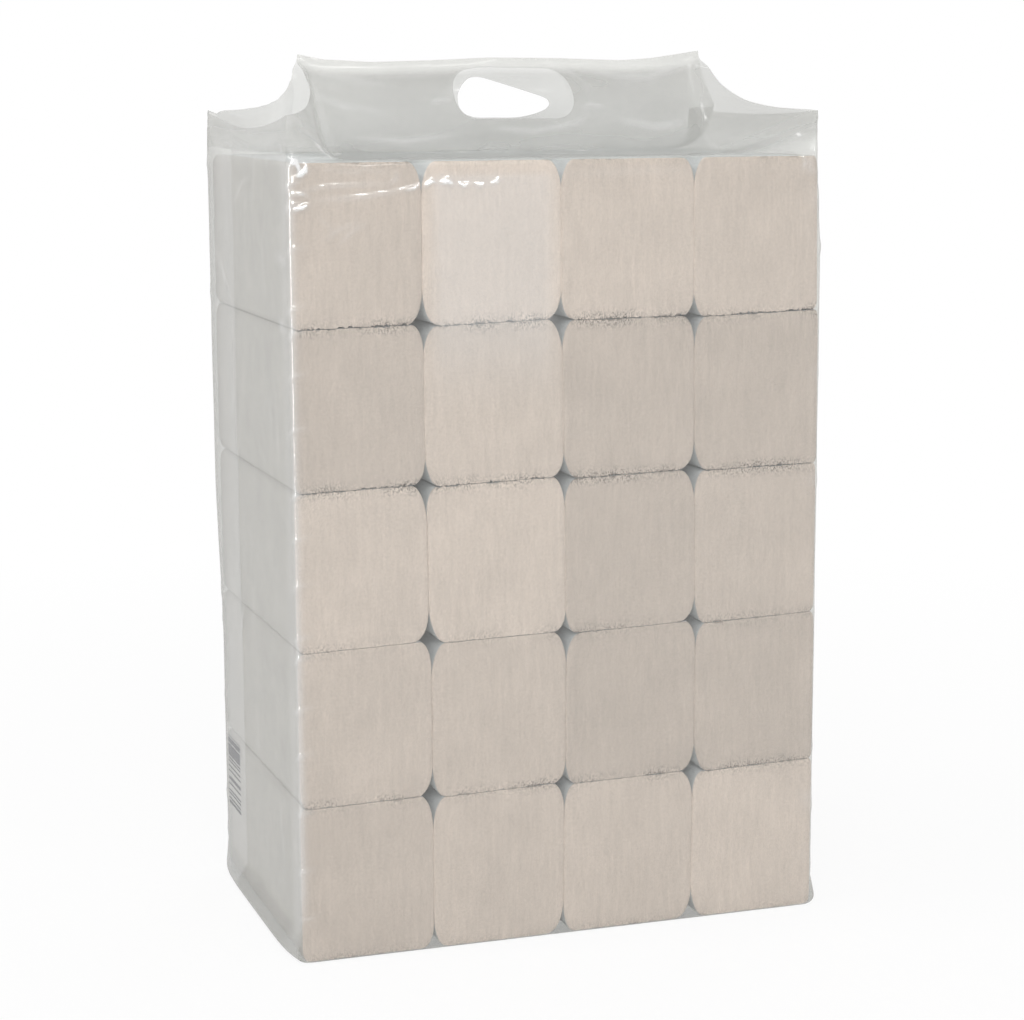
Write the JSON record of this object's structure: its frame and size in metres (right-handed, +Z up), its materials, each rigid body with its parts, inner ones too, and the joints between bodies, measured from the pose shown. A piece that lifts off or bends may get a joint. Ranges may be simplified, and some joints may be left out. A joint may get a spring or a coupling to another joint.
{
  "type": "pack of z-fold paper towels",
  "caption": "Clear film carry bag with a die-cut hand hole, holding stacked bundles of interfolded paper towels with their cut ends to the front.",
  "frame": {"origin": "middle of the base, on the surface the pack stands on", "axes": "+X across the pack, -Y towards the front with the bundles' cut ends, +Z up"},
  "size_m": [0.4042, 0.2516, 0.6513],
  "materials": {
    "towel_paper": "matt, uncoated recycled tissue",
    "clear_film": "clear, slightly hazy polyethylene film"
  },
  "bodies": {
    "root": {"bundle_r1c1": "towel_paper", "bundle_r1c2": "towel_paper", "bundle_r1c3": "towel_paper", "bundle_r1c4": "towel_paper", "bundle_r2c1": "towel_paper", "bundle_r2c2": "towel_paper", "bundle_r2c3": "towel_paper", "bundle_r2c4": "towel_paper", "bundle_r3c1": "towel_paper", "bundle_r3c2": "towel_paper", "bundle_r3c3": "towel_paper", "bundle_r3c4": "towel_paper", "bundle_r4c1": "towel_paper", "bundle_r4c2": "towel_paper", "bundle_r4c3": "towel_paper", "bundle_r4c4": "towel_paper", "bundle_r5c1": "towel_paper", "bundle_r5c2": "towel_paper", "bundle_r5c3": "towel_paper", "bundle_r5c4": "towel_paper", "carry_bag": "clear_film"}
  },
  "joints": []
}
